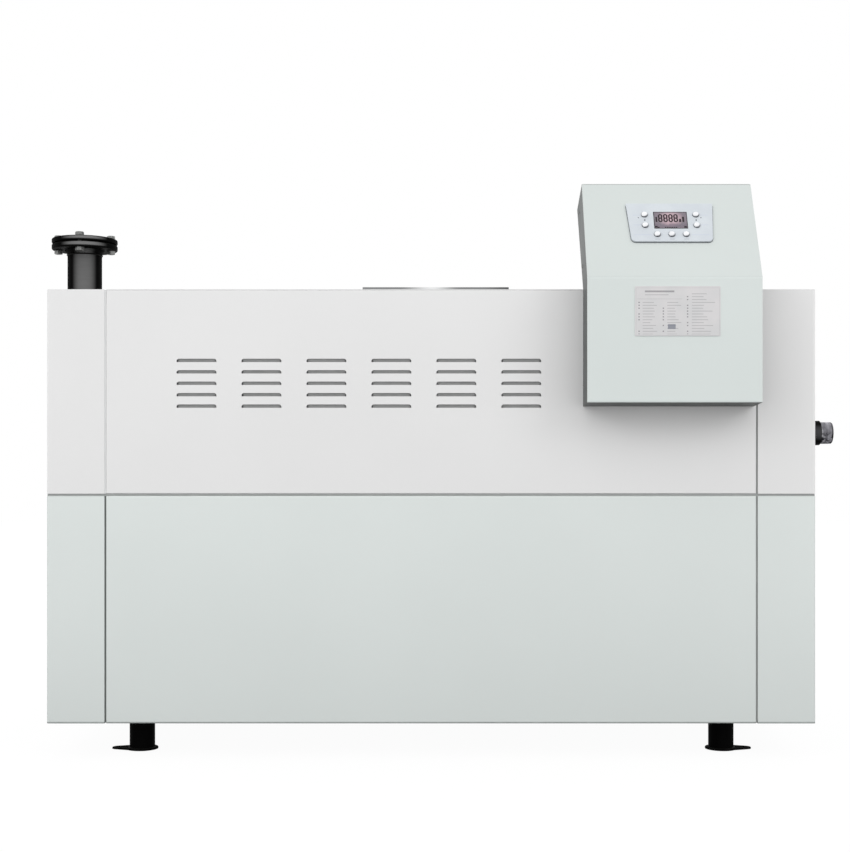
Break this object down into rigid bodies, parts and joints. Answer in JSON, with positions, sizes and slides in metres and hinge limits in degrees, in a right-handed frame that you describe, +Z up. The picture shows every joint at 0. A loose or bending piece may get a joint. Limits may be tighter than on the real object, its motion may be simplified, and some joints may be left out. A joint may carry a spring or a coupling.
{
  "type": "industrial boiler",
  "caption": "Floor-standing industrial gas boiler: long sheet-metal cabinet with louvred front, sloping control box, flanged flow stub, gas stub, roof flue outlet and tube legs.",
  "frame": {"origin": "on the floor, in the middle of the rectangle of the four anchor holes, which is also the middle of the cabinet in plan", "axes": "+X to the operator's right along the cabinet, +Y to the rear, +Z up; the louvred front looks along -Y"},
  "size_m": [2.622, 1.379, 1.8384],
  "materials": {
    "white_paint": "satin white powder coat",
    "grey_green_paint": "satin pale grey-green powder coat",
    "dark_grey_paint": "satin grey powder coat",
    "black_paint": "satin black heat-resistant paint",
    "frame_paint": "dark primer",
    "galvanised": "zinc-coated steel",
    "stainless": "brushed stainless steel",
    "gasket_fibre": "pressed fibre gasket",
    "pale_plastic": "fine-grained pale plastic",
    "display_grey": "smooth display window",
    "button_white": "smooth white caps",
    "label_foil": "matt printed foil"
  },
  "bodies": {
    "root": {"base_cross_beams": "frame_paint", "base_long_beams": "frame_paint", "blind_flange": "black_paint", "control_bezel": "pale_plastic", "control_box_body": "dark_grey_paint", "control_box_cover": "grey_green_paint", "control_box_screws": "galvanised", "control_buttons": "button_white", "corner_posts": "frame_paint", "display_window": "display_grey", "flange_bolts": "galvanised", "flange_gasket": "gasket_fibre", "floor_panel": "galvanised", "flow_flange": "black_paint", "flow_pipe": "black_paint", "flue_curb": "stainless", "flue_duct": "stainless", "foot_plate_front_left": "black_paint", "foot_plate_front_right": "black_paint", "foot_plate_rear_left": "black_paint", "foot_plate_rear_right": "black_paint", "front_lower_panel": "grey_green_paint", "front_upper_panel": "white_paint", "gas_nipple": "galvanised", "gas_pipe": "black_paint", "gas_socket": "black_paint", "heat_exchanger_jacket": "galvanised", "label_plate": "label_foil", "left_end_lower_panel": "grey_green_paint", "left_end_upper_panel": "white_paint", "leg_front_left": "black_paint", "leg_front_right": "black_paint", "leg_rear_left": "black_paint", "leg_rear_right": "black_paint", "middle_rails": "frame_paint", "rear_lower_panel": "grey_green_paint", "rear_upper_panel": "white_paint", "right_end_lower_panel": "grey_green_paint", "right_end_upper_panel": "white_paint", "roof_bars": "frame_paint", "roof_centre_panel": "white_paint", "roof_left_panel": "white_paint", "roof_right_panel": "white_paint", "seam_posts": "frame_paint", "top_rails": "frame_paint"}
  },
  "joints": []
}
